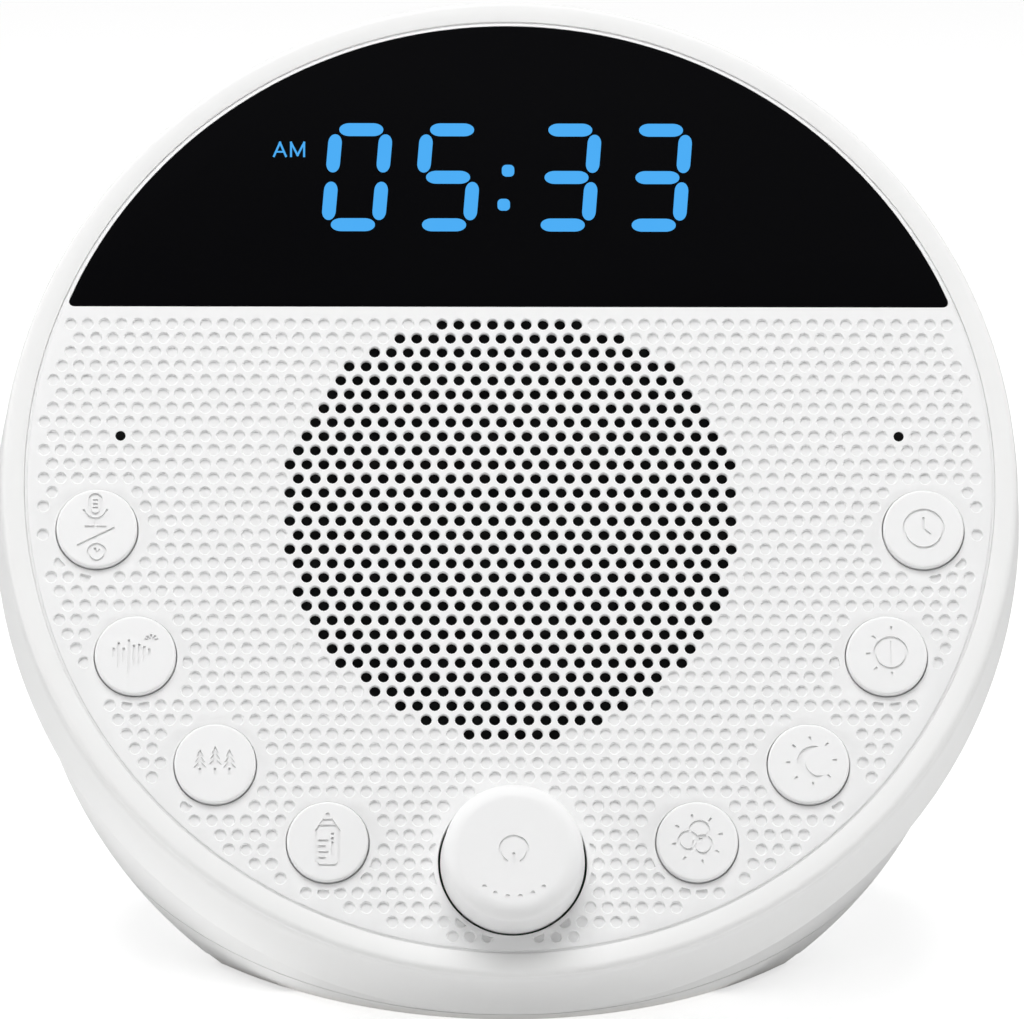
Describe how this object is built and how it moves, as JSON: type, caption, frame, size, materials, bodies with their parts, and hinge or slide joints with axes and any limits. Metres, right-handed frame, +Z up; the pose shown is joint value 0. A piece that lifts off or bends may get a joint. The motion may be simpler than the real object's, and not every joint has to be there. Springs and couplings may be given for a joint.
{
  "type": "white noise sound machine",
  "caption": "Round leaning bedside sound machine with a clock display, a perforated speaker face, round keys along the lower rim and a knob that turns and presses.",
  "frame": {"origin": "on the table under the middle of the object's bounding box", "axes": "+Z up, the face looks along -Y and up, +X to the right as seen from the front"},
  "size_m": [0.132, 0.1114, 0.1267],
  "materials": {
    "shell_white": "satin, finely moulded",
    "panel_white": "satin",
    "key_white": "satin",
    "knob_white": "satin",
    "lens_black": "polished",
    "lit_blue": "lit from behind",
    "module_black": "moulded",
    "cloth_black": "woven",
    "foam_grey": "foam",
    "basket_steel": "black painted",
    "magnet_ferrite": "sintered ferrite with steel plates",
    "cone_paper": "pressed paper",
    "surround_rubber": "soft rubber",
    "spider_cloth": "pressed cloth",
    "coil_copper": "wound copper",
    "screw_steel": "zinc plated",
    "board_green": "solder mask",
    "encoder_metal": "pressed",
    "shaft_aluminium": "turned",
    "plunger_plastic": "moulded",
    "capsule_metal": "pressed",
    "boot_rubber": "moulded",
    "ribbon_white": "flat cable",
    "lead_red": "insulated wire",
    "socket_metal": "pressed",
    "light_board_white": "white solder mask",
    "led_yellow": "moulded",
    "diffuser_milky": "milky, translucent",
    "foot_rubber": "soft"
  },
  "bodies": {
    "housing": {"front_shell": "shell_white", "front_panel": "panel_white", "display_lens": "lens_black", "display_segments": "lit_blue", "display_module": "module_black", "acoustic_cloth": "cloth_black", "speaker_gasket": "foam_grey", "speaker_basket": "basket_steel", "speaker_magnet": "magnet_ferrite", "speaker_screws": "screw_steel", "key_board": "board_green", "key_switches": "module_black", "key_board_screws": "screw_steel", "encoder_body": "encoder_metal", "microphones": "capsule_metal", "microphone_boots": "boot_rubber", "main_board": "board_green", "main_chips": "module_black", "main_board_screws": "screw_steel", "ribbon_cable": "ribbon_white", "speaker_leads": "lead_red", "power_socket": "socket_metal", "power_board": "board_green", "rear_shell": "shell_white", "case_screws": "screw_steel", "base_cover": "shell_white", "light_board": "light_board_white", "light_leds": "led_yellow", "light_diffuser": "diffuser_milky", "rubber_feet": "foot_rubber"},
    "key_voice_alarm": {"key_voice_alarm": "key_white"},
    "key_sounds": {"key_sounds": "key_white"},
    "key_forest": {"key_forest": "key_white"},
    "key_feeding": {"key_feeding": "key_white"},
    "key_clock": {"key_clock": "key_white"},
    "key_sun": {"key_sun": "key_white"},
    "key_moon": {"key_moon": "key_white"},
    "key_colours": {"key_colours": "key_white"},
    "knob_carrier": {"encoder_plunger": "plunger_plastic"},
    "knob": {"control_knob": "knob_white", "encoder_shaft": "shaft_aluminium"},
    "cone": {"speaker_cone": "cone_paper", "speaker_dust_cap": "cone_paper", "speaker_surround": "surround_rubber", "speaker_spider": "spider_cloth", "voice_coil": "coil_copper"}
  },
  "joints": [
    {"name": "key_voice_alarm_press", "type": "slide", "parent": "housing", "child": "key_voice_alarm", "axis": [0, 0.8988, -0.4384], "range_m": [0, 0.0005], "stiffness_N_per_m": 1500},
    {"name": "key_sounds_press", "type": "slide", "parent": "housing", "child": "key_sounds", "axis": [0, 0.8988, -0.4384], "range_m": [0, 0.0005], "stiffness_N_per_m": 1500},
    {"name": "key_forest_press", "type": "slide", "parent": "housing", "child": "key_forest", "axis": [0, 0.8988, -0.4384], "range_m": [0, 0.0005], "stiffness_N_per_m": 1500},
    {"name": "key_feeding_press", "type": "slide", "parent": "housing", "child": "key_feeding", "axis": [0, 0.8988, -0.4384], "range_m": [0, 0.0005], "stiffness_N_per_m": 1500},
    {"name": "key_clock_press", "type": "slide", "parent": "housing", "child": "key_clock", "axis": [0, 0.8988, -0.4384], "range_m": [0, 0.0005], "stiffness_N_per_m": 1500},
    {"name": "key_sun_press", "type": "slide", "parent": "housing", "child": "key_sun", "axis": [0, 0.8988, -0.4384], "range_m": [0, 0.0005], "stiffness_N_per_m": 1500},
    {"name": "key_moon_press", "type": "slide", "parent": "housing", "child": "key_moon", "axis": [0, 0.8988, -0.4384], "range_m": [0, 0.0005], "stiffness_N_per_m": 1500},
    {"name": "key_colours_press", "type": "slide", "parent": "housing", "child": "key_colours", "axis": [0, 0.8988, -0.4384], "range_m": [0, 0.0005], "stiffness_N_per_m": 1500},
    {"name": "knob_press", "type": "slide", "parent": "housing", "child": "knob_carrier", "axis": [0, 0.8988, -0.4384], "range_m": [0, 0.0005], "stiffness_N_per_m": 4000},
    {"name": "knob_turn", "type": "hinge", "parent": "knob_carrier", "child": "knob", "pos_m": [0, -0.04644, 0.02421], "axis": [0, -0.8988, 0.4384], "continuous": true},
    {"name": "cone_stroke", "type": "slide", "parent": "housing", "child": "cone", "axis": [0, 0.8988, -0.4384], "range_m": [-0.0006, 0.0006], "stiffness_N_per_m": 1200}
  ]
}
